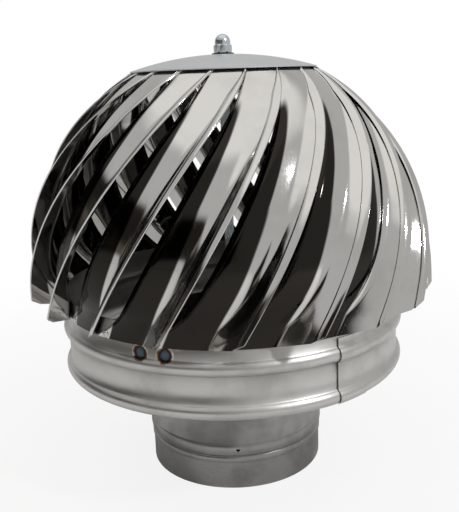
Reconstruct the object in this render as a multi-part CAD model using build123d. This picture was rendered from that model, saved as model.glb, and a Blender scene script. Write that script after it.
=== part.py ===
"""Roof turbine ventilator: a wind-driven chimney cowl of stainless sheet.

A fixed base stands on the flue: spigot, drip collar, cross and bearing housing.
A rotor of swirling vanes, skirt and domed cap turns on it about the Z axis.
Origin: centre of the spigot's lower end.  +Z is up and -Y is the front.
All lengths are millimetres and all angles are degrees.
"""

from build123d import *
from math import asin, atan, cos, degrees, hypot, radians, sin, sqrt, tan
import os

# ---- sheet and clearances ----
NECK_SHEET = 0.8            # wall of the spigot tube
SKIRT_SHEET = 0.8           # wall of the rotor skirt
VANE_SHEET = 0.7            # wall of a vane
CAP_SHEET = 0.8             # wall of the cap
SEAT_GAP = 0.1              # play left between curved sheets that lie on each other
HOLE_PLAY = 0.05            # radial play of a rivet or bolt in its hole
RUNNING_FIT = 0.05          # radial play between the shaft and what turns with it

# ---- fixed spigot ----
SPIGOT_RADIUS = 75.0        # outside, fits a 150 mm flue socket
SPIGOT_LENGTH = 22.7        # plain length that enters the flue
STEP_OUT = 0.8              # swage above the plain length
STOP_BEAD_LOW = 28.7
STOP_BEAD_HIGH = 39.5
STOP_BEAD_RISE = 1.6
NECK_TOP = 128.0
FIXING_HOLE_WIDE = 3.4
FIXING_HOLE_HIGH = 2.4

# ---- fixed drip collar ----
COLLAR_SHEET = 0.8
COLLAR_RADIUS = 136.0
COLLAR_TOP = 122.0
COLLAR_SLEEVE = 12.0        # height of the sleeve round the neck
COLLAR_FALL = 8.0           # how far the cone drops to its rim
COLLAR_RIM = 6.0            # height of the turned-down rim
COLLAR_RIVETS = 6

# ---- fixed cross that carries the bearings ----
CROSS_Z = 78.0
CROSS_THICK = 3.0
CROSS_WIDTH = 25.0
CROSS_TAB = 16.0
CROSS_HUB_RADIUS = 30.0
CROSS_BORE = 10.0

# ---- ball bearings and housing ----
BEARING_BORE = 8.0          # diameters of the 608 size
BEARING_OUTSIDE = 22.0
BEARING_WIDTH = 7.0
INNER_RACE_WALL = 1.75
RACE_PLAY = 0.08            # radial gap between the inner race and the shields
HOUSING_LENGTH = 40.0
HOUSING_WALL = 4.0
HOUSING_SHOULDER = 2.0      # step that each bearing sits against
FLANGE_THICK = 3.0
FLANGE_BOLTS = 3
FLANGE_BOLT_SIZE = 5.0
FLANGE_BOLT_RING = 22.0
FLANGE_BOLT_FLATS = 8.0
FLANGE_BOLT_HEAD = 3.5
FLANGE_NUT_HEIGHT = 4.7
FLANGE_BOLT_TAIL = 1.5
CIRCLIP_THICK = 1.0
CIRCLIP_DEPTH = 0.6
CIRCLIP_WIDTH = 2.2

# ---- shaft and its nuts ----
SHAFT_DIAMETER = 8.0
NUT_FLATS = 13.0
NUT_HEIGHT = 6.5
LOCK_NUT_HEIGHT = 8.0
ACORN_HEIGHT = 15.0
ACORN_HEX_HEIGHT = 6.5
ACORN_BORE_DEPTH = 11.0
ACORN_DOME_RADIUS = 6.3
ACORN_CONES = 4             # cones that make up the dome
SHAFT_TAIL = 2.0            # shaft beyond the lock nut
SLEEVE_RADIUS = 5.75        # spacers that touch only a bearing's inner race
LOWER_SPACER = 1.0

# ---- rotor skirt ----
SKIRT_RADIUS = 141.8
SKIRT_BOTTOM = 93.5
SKIRT_TOP = 162.0
LOWER_BEAD_HEIGHT = 11.6
UPPER_BEAD_BOTTOM = 126.2
UPPER_BEAD_HEIGHT = 12.1
BEAD_RISE = 3.9

# ---- rotor strap welded across the skirt ----
STRAP_AZIMUTH = -24.2
STRAP_UNDERSIDE = 133.0
STRAP_THICK = 3.0
STRAP_WIDTH = 30.0
STRAP_TAB = 14.0

# ---- vanes ----
VANE_COUNT = 19
VANE_BOTTOM = 147.0
FOLD_RADIUS = 170.5         # radius of the outer folded edge at its widest
FOLD_WIDEST_Z = 172.0
FOLD_INSIDE_RIM = 0.4       # how far inside the cap's rim the folded edges end
SWIRL_EVEN = 38.5           # swirl of a vane that grows evenly with height
SWIRL_CROWN = 11.6          # further swirl that comes in towards the cap
FIRST_VANE_AZIMUTH = -0.4
PANEL_SLOPE = 55.0          # slope of the steep panel behind the folded edge
BEND_RADIUS = 10.0
HEM_WIDTH = 6.0
HEM_SLOPE = 40.0
HEM_CLEAR = 0.6             # least height of the open hem over the pocket floor
POCKET_DEPTH = 44.0
FOOT_SPREAD = 1.25          # how far up the foot's full depth reaches
POCKET_AT_CAP = 3.4
SLOT_LEAD = 1.5             # angle from a folded edge to the next vane's inner edge
SLOT_LEAD_FOOT = -8.2
INNER_FLANGE = 6.0
INNER_FLANGE_DROP = 3.0
TIP_RISE = 0.35             # slope of the foot's lower edge towards the tip
TIP_CUT = 5.5               # cut corner of the foot, counted inwards from the folded edge
TIP_CUT_SLOPE = 1.1
TAB_LIP = 0.3               # how far a tab passes through the pocket's floor
TAB_FROM_FOLD = 3.5         # angle between a tab and its own vane's fold
VANE_PLAY = 1.8             # angle left between neighbouring vanes at the cap
VANE_TAB_PLAY = 1.0         # further angle between a tab and the fold of the vane before it
VANE_SEAT_GAP = 0.5         # play between the skirt and the vanes' flat-faceted feet
VANE_STEPS = 8              # straight steps of a vane between the skirt and the cap
FLOOR_STEPS = 3             # flat steps across a pocket's floor
TAB_STEPS = 4               # flat steps across a vane's tab under the cap

# ---- cap ----
CAP_RADIUS = 76.2
CAP_TOP = 349.0
CAP_CROWN_RADIUS = 253.0
CAP_FLAT = 10.0             # radius of the flat centre that the nut clamps
CAP_CONES = 4               # cones that make up the dome
WASHER_RADIUS = 9.0
WASHER_THICK = 1.0
CROWN_RING_WIDTH = 12.0
CROWN_RING_SETBACK = 10.5
CROWN_RING_SHEET = 1.5
BACKING_THICK = 2.0

# ---- rivets ----
RIVET_HEAD = 3.1            # radius
RIVET_HEAD_HEIGHT = 1.1
RIVET_SIDES = 10
RIVET_TAPER = 40.0
VANE_RIVET_Z = 150.2
VANE_RIVET_INSET = 3.5      # from the vane's inner edge

# ---- sizes that follow from the ones above ----
PITCH = 360.0 / VANE_COUNT
SHAFT_RADIUS = SHAFT_DIAMETER / 2
SHAFT_HOLE = SHAFT_RADIUS + RUNNING_FIT
CONE_WIDTH = (CAP_RADIUS - CAP_FLAT) / CAP_CONES
CAP_RISE = CAP_CROWN_RADIUS - sqrt(CAP_CROWN_RADIUS ** 2 - CAP_RADIUS ** 2 + CAP_FLAT ** 2)
VANE_CAP_Z = CAP_TOP - CAP_SHEET - SEAT_GAP - CAP_RISE
VANE_FACE_TOP = CAP_TOP - CAP_SHEET - SEAT_GAP
VANE_FLOOR = SKIRT_RADIUS + VANE_SEAT_GAP + VANE_SHEET
FOOT_CUT_RADIUS = FOLD_RADIUS - TIP_CUT
CROWN_REACH = sqrt(1 - ((CAP_RADIUS - FOLD_INSIDE_RIM) / FOLD_RADIUS) ** 2)
CROWN_RISE = (VANE_CAP_Z - FOLD_WIDEST_Z) / CROWN_REACH
FOOT_DEPTH = FOLD_RADIUS - VANE_FLOOR
COLLAR_INNER = SPIGOT_RADIUS + SEAT_GAP
HOUSING_BOTTOM = CROSS_Z + CROSS_THICK
HOUSING_TOP = HOUSING_BOTTOM + HOUSING_LENGTH
LOWER_BEARING_Z = HOUSING_BOTTOM
UPPER_BEARING_Z = HOUSING_TOP - BEARING_WIDTH - 2 * CIRCLIP_THICK
RACE_OUTSIDE = BEARING_OUTSIDE / 2
RACE_BORE = BEARING_BORE / 2 + RUNNING_FIT
RACE_SPLIT = BEARING_BORE / 2 + INNER_RACE_WALL
HOUSING_BORE = RACE_OUTSIDE + HOLE_PLAY
HOUSING_RADIUS = RACE_OUTSIDE + HOUSING_WALL
STRAP_TOP = STRAP_UNDERSIDE + STRAP_THICK
CAP_UNDERSIDE = CAP_TOP - CAP_SHEET
BACKING_UNDERSIDE = CAP_UNDERSIDE - BACKING_THICK
ACORN_BOTTOM = CAP_TOP + WASHER_THICK
SHAFT_BOTTOM = LOWER_BEARING_Z - LOWER_SPACER - LOCK_NUT_HEIGHT - SHAFT_TAIL
SHAFT_TOP = ACORN_BOTTOM + ACORN_BORE_DEPTH - RUNNING_FIT


def place(radius, azimuth, height):
    """Point at a radius and height, with the azimuth counted from the front towards +X."""
    turn = radians(azimuth)
    return Vector(radius * sin(turn), -radius * cos(turn), height)


def outline(*edges):
    return Face(Wire(list(edges)))


def spun(*points):
    """Solid of revolution about Z of a closed outline given as radius, height points."""
    corners = [Vector(r, 0, z) for r, z in points]
    return revolve(Face(Wire.make_polygon(corners, close=True)), Axis.Z, 360)


def tube(inner, outer, low, high):
    return spun((inner, low), (outer, low), (outer, high), (inner, high))


def rod(radius, low, high):
    return Pos(0, 0, low) * Cylinder(radius, high - low, align=(Align.CENTER, Align.CENTER, Align.MIN))


def hexagon(flats, low, high):
    """Plain hexagon bar about the Z axis."""
    return Pos(0, 0, low) * extrude(RegularPolygon(flats / 2, 6, major_radius=False), high - low)


def chamfered_hexagon(flats, low, high):
    """Hexagon bar whose corners are turned down to a cone at both ends."""
    corner = flats / 2 / cos(radians(30))
    bevel = (corner - flats / 2) * tan(radians(30))
    envelope = spun((0, low), (flats / 2, low), (corner, low + bevel),
                    (corner, high - bevel), (flats / 2, high), (0, high))
    return hexagon(flats, low, high) & envelope


def beaded_wall(radius, sheet, low, high, beads):
    """Tube wall with (low, high, rise) beads rolled outwards, each with a flat crest."""
    points = [(radius, low)]
    for bead_low, bead_high, rise in beads:
        third = (bead_high - bead_low) / 3
        points += [(radius, bead_low), (radius + rise, bead_low + third),
                   (radius + rise, bead_high - third), (radius, bead_high)]
    points.append((radius, high))
    if beads[0][0] <= low:
        points.pop(0)
    inside = [(r - sheet, z) for r, z in reversed(points)]
    return spun(*points, *inside)


def rivet_heads(places, radius):
    """Low faceted heads of set rivets on a round wall, at (azimuth, height) places."""
    head = extrude(RegularPolygon(RIVET_HEAD, RIVET_SIDES), RIVET_HEAD_HEIGHT, taper=RIVET_TAPER)
    return Compound([Plane(place(radius, azimuth, height), z_dir=place(1, azimuth, 0)) * head
                     for azimuth, height in places])


# ---- fixed base ----

def spigot():
    """Neck tube: plain end, swaged step, stop bead and the long neck inside the rotor."""
    plain = beaded_wall(SPIGOT_RADIUS, NECK_SHEET, 0, NECK_TOP,
                        [(STOP_BEAD_LOW, STOP_BEAD_HIGH, STOP_BEAD_RISE)])
    swage = spun((SPIGOT_RADIUS - NECK_SHEET / 2, SPIGOT_LENGTH),
                 (SPIGOT_RADIUS + STEP_OUT, SPIGOT_LENGTH + STEP_OUT),
                 (SPIGOT_RADIUS + STEP_OUT, STOP_BEAD_LOW),
                 (SPIGOT_RADIUS - NECK_SHEET / 2, STOP_BEAD_LOW))
    neck = plain + swage
    hole_z = (STOP_BEAD_LOW + STOP_BEAD_HIGH) / 2
    return neck - Pos(0, -SPIGOT_RADIUS, hole_z) * Box(
        FIXING_HOLE_WIDE, 4 * STOP_BEAD_RISE, FIXING_HOLE_HIGH)


def drip_collar():
    """Sleeve round the neck with a cone that sheds rain inside the rotor skirt."""
    cone_top = COLLAR_TOP - COLLAR_SLEEVE
    cone_foot = cone_top - COLLAR_FALL
    outside = COLLAR_RADIUS - COLLAR_SHEET
    return spun((COLLAR_INNER, COLLAR_TOP), (COLLAR_INNER + COLLAR_SHEET, COLLAR_TOP),
                  (COLLAR_INNER + COLLAR_SHEET, cone_top), (COLLAR_RADIUS, cone_foot),
                  (COLLAR_RADIUS, cone_foot - COLLAR_RIM), (outside, cone_foot - COLLAR_RIM),
                  (outside, cone_foot - COLLAR_SHEET), (COLLAR_INNER, cone_top - COLLAR_SHEET))


def collar_rivets():
    height = COLLAR_TOP - COLLAR_SLEEVE / 2
    places = [((i + 0.5) * 360 / COLLAR_RIVETS, height) for i in range(COLLAR_RIVETS)]
    return rivet_heads(places, COLLAR_INNER + COLLAR_SHEET)


def cross_reach():
    """Half length of a cross bar, so that its tab's corners clear the neck wall."""
    inside = SPIGOT_RADIUS - NECK_SHEET - SEAT_GAP
    return sqrt(inside ** 2 - (CROSS_WIDTH / 2) ** 2)


def bearing_cross():
    """Two crossed flat bars with a round hub; their ends are turned up along the neck."""
    reach = cross_reach()
    bar_box = Box(2 * reach, CROSS_WIDTH, CROSS_THICK)
    cross = Pos(0, 0, CROSS_Z + CROSS_THICK / 2) * (bar_box + Rot(0, 0, 90) * bar_box)
    cross += rod(CROSS_HUB_RADIUS, CROSS_Z, CROSS_Z + CROSS_THICK)
    tab = Pos(reach - CROSS_THICK / 2, 0, CROSS_Z + CROSS_TAB / 2) * Box(CROSS_THICK, CROSS_WIDTH, CROSS_TAB)
    for quarter in range(4):
        cross += Rot(0, 0, 90 * quarter) * tab
    cross -= rod(CROSS_BORE, CROSS_Z, CROSS_Z + CROSS_THICK)
    for spot in flange_bolt_places():
        cross -= spot * rod(FLANGE_BOLT_SIZE / 2 + HOLE_PLAY, CROSS_Z, CROSS_Z + CROSS_THICK)
    return cross


def cross_rivets():
    height = CROSS_Z + (CROSS_THICK + CROSS_TAB) / 2
    return rivet_heads([(quarter * 90, height) for quarter in range(4)], SPIGOT_RADIUS)


def flange_bolt_places():
    return [Rot(0, 0, 45 + i * 360 / FLANGE_BOLTS) * Pos(FLANGE_BOLT_RING, 0, 0)
            for i in range(FLANGE_BOLTS)]


def bearing_housing():
    """Turned tube with a bolting flange, a bearing seat in each end and a circlip groove."""
    housing = tube(0, HOUSING_RADIUS, HOUSING_BOTTOM, HOUSING_TOP)
    housing += rod(CROSS_HUB_RADIUS, HOUSING_BOTTOM, HOUSING_BOTTOM + FLANGE_THICK)
    housing -= rod(HOUSING_BORE - HOUSING_SHOULDER, HOUSING_BOTTOM, HOUSING_TOP)
    housing -= rod(HOUSING_BORE, HOUSING_BOTTOM, LOWER_BEARING_Z + BEARING_WIDTH)
    housing -= rod(HOUSING_BORE, UPPER_BEARING_Z, HOUSING_TOP)
    circlip_z = UPPER_BEARING_Z + BEARING_WIDTH
    housing -= tube(0, HOUSING_BORE + CIRCLIP_DEPTH, circlip_z, circlip_z + CIRCLIP_THICK)
    for spot in flange_bolt_places():
        housing -= spot * rod(FLANGE_BOLT_SIZE / 2 + HOLE_PLAY, HOUSING_BOTTOM,
                              HOUSING_BOTTOM + FLANGE_THICK)
    return housing


def housing_bolts():
    head_z = HOUSING_BOTTOM + FLANGE_THICK
    tail_z = CROSS_Z - FLANGE_NUT_HEIGHT - FLANGE_BOLT_TAIL
    bolt = hexagon(FLANGE_BOLT_FLATS, head_z, head_z + FLANGE_BOLT_HEAD)
    bolt += rod(FLANGE_BOLT_SIZE / 2, tail_z, head_z)
    return Compound([spot * bolt for spot in flange_bolt_places()])


def housing_nuts():
    nut = hexagon(FLANGE_BOLT_FLATS, CROSS_Z - FLANGE_NUT_HEIGHT, CROSS_Z)
    nut -= rod(FLANGE_BOLT_SIZE / 2 + HOLE_PLAY, CROSS_Z - FLANGE_NUT_HEIGHT, CROSS_Z)
    return Compound([spot * nut for spot in flange_bolt_places()])


def outer_race(bottom):
    """Outer race of a bearing with the shields that close its ball space."""
    return tube(RACE_SPLIT + RACE_PLAY, RACE_OUTSIDE, bottom, bottom + BEARING_WIDTH)


def inner_race(bottom):
    return tube(RACE_BORE, RACE_SPLIT, bottom, bottom + BEARING_WIDTH)


def circlip():
    """Open spring ring that holds the upper bearing in its seat."""
    low = UPPER_BEARING_Z + BEARING_WIDTH
    outside = HOUSING_BORE + CIRCLIP_DEPTH - HOLE_PLAY
    ring = tube(outside - CIRCLIP_WIDTH, outside, low, low + CIRCLIP_THICK)
    gap = Pos(0, -outside, low + CIRCLIP_THICK / 2) * Box(2 * CIRCLIP_WIDTH, 4 * CIRCLIP_WIDTH, CIRCLIP_THICK)
    return ring - gap


# ---- rotor: shaft and what it clamps ----

def shaft():
    return rod(SHAFT_RADIUS, SHAFT_BOTTOM, SHAFT_TOP)


def shaft_nut(low, height):
    return hexagon(NUT_FLATS, low, low + height) - rod(SHAFT_HOLE, low, low + height)


def lower_spacer():
    return tube(SHAFT_HOLE, SLEEVE_RADIUS, LOWER_BEARING_Z - LOWER_SPACER, LOWER_BEARING_Z)


def upper_spacer():
    return tube(SHAFT_HOLE, SLEEVE_RADIUS, UPPER_BEARING_Z + BEARING_WIDTH, STRAP_UNDERSIDE - NUT_HEIGHT)


def acorn_nut():
    """Domed nut that closes the shaft's upper end."""
    dome_centre = ACORN_BOTTOM + ACORN_HEIGHT - ACORN_DOME_RADIUS
    climbs = [radians(90 * i / ACORN_CONES) for i in range(ACORN_CONES + 1)]
    dome = [(ACORN_DOME_RADIUS * cos(climb), dome_centre + ACORN_DOME_RADIUS * sin(climb))
            for climb in climbs[:-1]]
    nut = chamfered_hexagon(NUT_FLATS, ACORN_BOTTOM, ACORN_BOTTOM + ACORN_HEX_HEIGHT)
    nut += spun((0, ACORN_BOTTOM), (ACORN_DOME_RADIUS, ACORN_BOTTOM), *dome, (0, ACORN_BOTTOM + ACORN_HEIGHT))
    return nut - rod(SHAFT_HOLE, ACORN_BOTTOM, ACORN_BOTTOM + ACORN_BORE_DEPTH)


def rubber_washer():
    return tube(SHAFT_HOLE, WASHER_RADIUS, CAP_TOP, ACORN_BOTTOM)


# ---- rotor: cap ----

def dome_drop(radius):
    """Fall of a round dome below the cap's flat centre."""
    return CAP_CROWN_RADIUS - sqrt(CAP_CROWN_RADIUS ** 2 - radius ** 2 + CAP_FLAT ** 2)


def cap_drop(radius):
    """Fall of the cap below its flat centre: cones through rings of the round dome."""
    cone = min(CAP_CONES - 1, int((radius - CAP_FLAT) / CONE_WIDTH))
    inner = CAP_FLAT + cone * CONE_WIDTH
    rise = dome_drop(inner + CONE_WIDTH) - dome_drop(inner)
    return dome_drop(inner) + rise * (radius - inner) / CONE_WIDTH


def dome_strip(inner, outer, top, thickness):
    """Ring of sheet that follows the cap's cones between two radii."""
    breaks = [CAP_FLAT + i * CONE_WIDTH for i in range(1, CAP_CONES)]
    radii = [inner, *[radius for radius in breaks if inner < radius < outer], outer]
    face = [(radius, top - cap_drop(radius)) for radius in radii]
    return spun(*face, *[(radius, height - thickness) for radius, height in reversed(face)])


def cap():
    """Shallow dome with a flat centre for the shaft's nut."""
    return dome_strip(CAP_FLAT, CAP_RADIUS, CAP_TOP, CAP_SHEET) + tube(SHAFT_HOLE, CAP_FLAT, CAP_UNDERSIDE, CAP_TOP)


def backing_disc():
    """Disc that backs the cap where the shaft clamps it."""
    return tube(SHAFT_HOLE, CAP_FLAT, BACKING_UNDERSIDE, CAP_UNDERSIDE)


def crown_ring():
    """Domed ring under the cap; the vanes' upper ends lie between the two."""
    outer = CAP_RADIUS - CROWN_RING_SETBACK
    under_vanes = CAP_TOP - CAP_SHEET - VANE_SHEET - 3 * SEAT_GAP
    return dome_strip(outer - CROWN_RING_WIDTH, outer, under_vanes, CROWN_RING_SHEET)


# ---- rotor: skirt and strap ----

def skirt():
    """Rotor skirt: a band with two rolled beads that carries the vanes' feet."""
    lower_bead = (SKIRT_BOTTOM, SKIRT_BOTTOM + LOWER_BEAD_HEIGHT, BEAD_RISE)
    upper_bead = (UPPER_BEAD_BOTTOM, UPPER_BEAD_BOTTOM + UPPER_BEAD_HEIGHT, BEAD_RISE)
    return beaded_wall(SKIRT_RADIUS, SKIRT_SHEET, SKIRT_BOTTOM, SKIRT_TOP, [lower_bead, upper_bead])


def strap():
    """Flat bar across the skirt, clamped on the shaft, with its ends turned up."""
    inside = SKIRT_RADIUS - SKIRT_SHEET - SEAT_GAP
    reach = sqrt(inside ** 2 - (STRAP_WIDTH / 2) ** 2)
    bar = Pos(0, 0, STRAP_UNDERSIDE + STRAP_THICK / 2) * Box(STRAP_WIDTH, 2 * reach, STRAP_THICK)
    for side in (-1, 1):
        bar += Pos(0, side * (reach - STRAP_THICK / 2), STRAP_UNDERSIDE + STRAP_TAB / 2) * Box(
            STRAP_WIDTH, STRAP_THICK, STRAP_TAB)
    bar -= rod(SHAFT_HOLE, STRAP_UNDERSIDE, STRAP_TOP)
    return Rot(0, 0, STRAP_AZIMUTH) * bar


# ---- rotor: vanes ----

def share_of_height(height):
    """How far a height lies from the vanes' feet, 0, to the cap, 1."""
    return (height - VANE_BOTTOM) / (VANE_CAP_Z - VANE_BOTTOM)


def fold_radius(height):
    """Radius of a vane's outer folded edge: upright at the foot, then an ellipse."""
    rise = max(0.0, height - FOLD_WIDEST_Z) / CROWN_RISE
    return FOLD_RADIUS * sqrt(1 - rise ** 2)


def fold_slope(height):
    """Radius that the folded edge gains for each unit of height."""
    rise = max(0.0, height - FOLD_WIDEST_Z) / CROWN_RISE
    return -FOLD_RADIUS * rise / CROWN_RISE / sqrt(1 - rise ** 2)


def fold_azimuth(number, height):
    """Azimuth of a vane's outer folded edge, which swirls as it climbs."""
    share = share_of_height(height)
    swirl = SWIRL_EVEN * share + SWIRL_CROWN * max(0.0, share) ** 5
    return FIRST_VANE_AZIMUTH + number * PITCH + swirl


def pocket_depth(height):
    """Radial depth of a vane's pocket: down to the skirt at the foot, closing at the cap."""
    if height <= SKIRT_TOP:
        return FOOT_DEPTH
    share = min(1.0, max(0.0, share_of_height(height)))
    foot = FOOT_SPREAD * FOOT_DEPTH * (1 - share) ** 6
    return min(FOOT_DEPTH, foot + POCKET_DEPTH * share * (1 - share) + POCKET_AT_CAP)


def foot_share(height):
    """1 at the vanes' feet, where a pocket's floor lies on the skirt, fading just above."""
    return (1 - min(1.0, max(0.0, share_of_height(height)))) ** 10


def slot_share(height):
    """1 where the slot between two vanes is open, 0 at the foot and at the cap."""
    share = min(1.0, max(0.0, share_of_height(height)))
    return (1 - foot_share(height)) * (1 - share ** 6)


def inner_edge_azimuth(height):
    """Azimuth of a vane's inner edge from its own folded edge."""
    lead = SLOT_LEAD * slot_share(height) + SLOT_LEAD_FOOT * foot_share(height) + VANE_PLAY
    return lead - PITCH


def vane_face(fold, depth, panel_start, sheet_offset, height):
    """Corners of one face of a vane's sheet: bend, floor and inner flange."""
    floor = fold - depth - sheet_offset
    run = Vector(-cos(radians(PANEL_SLOPE)), -sin(radians(PANEL_SLOPE)))
    along = -panel_start.dot(run)
    length = along - sqrt(along ** 2 - panel_start.dot(panel_start) + floor ** 2)
    corner = panel_start + run * length
    corner_azimuth = degrees(atan(corner.X / corner.Y))
    turn = radians(PANEL_SLOPE + corner_azimuth)
    reach = min((BEND_RADIUS + sheet_offset) * tan(turn / 2), length / 2)
    bend_end = corner - run * reach
    bend_start_azimuth = corner_azimuth - degrees(reach / floor)
    bend_start = level_point(floor, bend_start_azimuth)
    inwards = (bend_start - corner).normalized() + (bend_end - corner).normalized()
    bend_middle = corner + inwards.normalized() * reach * (1 / cos(turn / 2) - 1) / tan(turn / 2)
    edge_azimuth = inner_edge_azimuth(height)
    floor_width = edge_azimuth + degrees(INNER_FLANGE / floor) - bend_start_azimuth
    floor_points = [level_point(floor, bend_start_azimuth + floor_width * i / FLOOR_STEPS)
                    for i in range(FLOOR_STEPS + 1)]
    drop = INNER_FLANGE_DROP * slot_share(height) if height > SKIRT_TOP else 0
    return [bend_end, bend_middle, *floor_points, level_point(floor - drop, edge_azimuth)]


def level_point(radius, azimuth):
    """Point on a level plane whose Y axis is the radius through azimuth 0."""
    return Vector(radius * sin(radians(azimuth)), radius * cos(radians(azimuth)))


def vane_corners(height):
    """Corners of a vane's sheet on a level plane, as two rows of partners across the sheet."""
    fold = fold_radius(height)
    depth = pocket_depth(height)
    sheet = VANE_SHEET * sqrt(1 + fold_slope(height) ** 2)
    across = radians((PANEL_SLOPE + HEM_SLOPE) / 2)
    step_in = Vector(sin(across), -cos(across)) * sheet
    crest = Vector(0, fold)
    back = crest + step_in * 2
    groove = crest + step_in - Vector(cos(across), sin(across)) * sheet
    hem_room = groove.Y - (fold - depth) - HEM_CLEAR
    hem_width = min(HEM_WIDTH, hem_room / sin(radians(HEM_SLOPE)))
    hem = Vector(-cos(radians(HEM_SLOPE)), -sin(radians(HEM_SLOPE))) * hem_width
    outer_row = [crest + hem, crest, back, *vane_face(fold, depth, back, sheet, height)]
    inner_row = [groove + hem, groove, groove, *vane_face(fold, depth, groove, 0, height)]
    swirl = fold_azimuth(0, height)
    return [[place(hypot(point.X, point.Y), swirl + degrees(atan(point.X / point.Y)), height)
             for point in row] for row in (outer_row, inner_row)]


def trimmed_corners(start, edge_height):
    """Corners of a vane's end, each at the height that the end's edge has at its radius."""
    rows = vane_corners(start)
    for _ in range(3):
        rows = [[vane_corners(edge_height(hypot(point.X, point.Y)))[side][i]
                 for i, point in enumerate(row)] for side, row in enumerate(rows)]
    return rows


def foot_height(radius):
    """Height of a vane's lower edge, which rises towards the tip."""
    slanted = min(radius, FOOT_CUT_RADIUS) - VANE_FLOOR
    return VANE_BOTTOM + max(0, slanted) * TIP_RISE + max(0, radius - FOOT_CUT_RADIUS) * TIP_CUT_SLOPE


def cap_face_height(radius):
    """Height of the domed face that the vanes' upper ends lie against."""
    return VANE_FACE_TOP - cap_drop(radius)


def triangles(corners):
    """Flat triangles that fan over corners, without those that have no area."""
    fan = [(corners[0], b, c) for b, c in zip(corners[1:], corners[2:])]
    return [Face(Wire.make_polygon(list(three), close=True)) for three in fan
            if (three[1] - three[0]).cross(three[2] - three[0]).length > SEAT_GAP ** 3]


def faceted_solid(stations):
    """Solid with flat faces through stations, each two rows of corners across a sheet."""
    faces = []
    for outer_row, inner_row in (stations[0], stations[-1]):
        for i in range(len(outer_row) - 1):
            faces += triangles([outer_row[i], outer_row[i + 1], inner_row[i + 1], inner_row[i]])
    for (low_out, low_in), (high_out, high_in) in zip(stations, stations[1:]):
        low = low_out + low_in[::-1]
        high = high_out + high_in[::-1]
        for i in range(len(low)):
            faces += triangles([low[i - 1], low[i], high[i], high[i - 1]])
    return Solid(Shell(faces))


def vane_tab():
    """Sector of the cap's outermost cone that carries a vane in under the cap."""
    span = PITCH - VANE_PLAY - VANE_TAB_PLAY - TAB_FROM_FOLD
    end = fold_azimuth(0, VANE_CAP_Z) - TAB_FROM_FOLD
    floor = fold_radius(VANE_CAP_Z) - pocket_depth(VANE_CAP_Z)
    radii = (CAP_RADIUS - CONE_WIDTH, floor + TAB_LIP)
    stations = []
    for i in range(TAB_STEPS + 1):
        azimuth = end - span * i / TAB_STEPS
        stations.append([[place(radius, azimuth, cap_face_height(radius) - depth) for radius in radii]
                         for depth in (0, VANE_SHEET)])
    return faceted_solid(stations)


def vane():
    """One swirling vane: hemmed outer edge, steep panel, pocket floor, inner flange and foot."""
    first, last = [asin((height - FOLD_WIDEST_Z) / CROWN_RISE) for height in (SKIRT_TOP, VANE_CAP_Z)]
    climbs = [first + (last - first) * i / VANE_STEPS for i in range(VANE_STEPS)]
    levels = [vane_corners(FOLD_WIDEST_Z + CROWN_RISE * sin(climb)) for climb in climbs]
    foot = trimmed_corners(VANE_BOTTOM, foot_height)
    head = trimmed_corners(VANE_CAP_Z, cap_face_height)
    return faceted_solid([foot, *levels, head]) + vane_tab()


def vane_rivets():
    from_fold = inner_edge_azimuth(VANE_RIVET_Z) + degrees(VANE_RIVET_INSET / VANE_FLOOR)
    places = [(fold_azimuth(number, VANE_RIVET_Z) + from_fold, VANE_RIVET_Z)
              for number in range(VANE_COUNT)]
    return rivet_heads(places, VANE_FLOOR)


def write(name, shape):
    export_step(shape, f"parts/{name}.step")


def main():
    os.makedirs("parts", exist_ok=True)
    write("neck_spigot", spigot())
    write("drip_collar", drip_collar())
    write("collar_rivets", collar_rivets())
    write("bearing_cross", bearing_cross())
    write("cross_rivets", cross_rivets())
    write("bearing_housing", bearing_housing())
    write("housing_bolts", housing_bolts())
    write("housing_nuts", housing_nuts())
    write("bearing_circlip", circlip())
    for place_name, bottom in (("lower", LOWER_BEARING_Z), ("upper", UPPER_BEARING_Z)):
        write(f"{place_name}_bearing_outer_race", outer_race(bottom))
        write(f"{place_name}_bearing_inner_race", inner_race(bottom))
    write("shaft", shaft())
    write("shaft_lock_nut", shaft_nut(SHAFT_BOTTOM + SHAFT_TAIL, LOCK_NUT_HEIGHT))
    write("lower_spacer", lower_spacer())
    write("upper_spacer", upper_spacer())
    write("strap_lower_nut", shaft_nut(STRAP_UNDERSIDE - NUT_HEIGHT, NUT_HEIGHT))
    write("strap_upper_nut", shaft_nut(STRAP_TOP, NUT_HEIGHT))
    write("skirt_strap", strap())
    write("rotor_skirt", skirt())
    write("vane_rivets", vane_rivets())
    first_vane = vane()
    for number in range(VANE_COUNT):
        write(f"vane_{number + 1:02d}", Rot(0, 0, number * PITCH) * first_vane)
    write("crown_ring", crown_ring())
    write("cap_nut", shaft_nut(BACKING_UNDERSIDE - NUT_HEIGHT, NUT_HEIGHT))
    write("cap_backing_disc", backing_disc())
    write("cap", cap())
    write("rubber_washer", rubber_washer())
    write("acorn_nut", acorn_nut())


if __name__ == "__main__":
    main()
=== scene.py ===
"""Looks of the roof turbine ventilator: smooth polished vanes, beaded skirt and neck, cap and nut.

Blender's unit is the metre; shapes are worked out in millimetres and scaled where meshes are made.
Azimuths are degrees counted from the front, -Y, towards +X.
"""

import math
from math import atan2, cos, degrees, hypot, radians, sin, sqrt, tan

import bpy
from mathutils import Matrix, Vector


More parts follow.
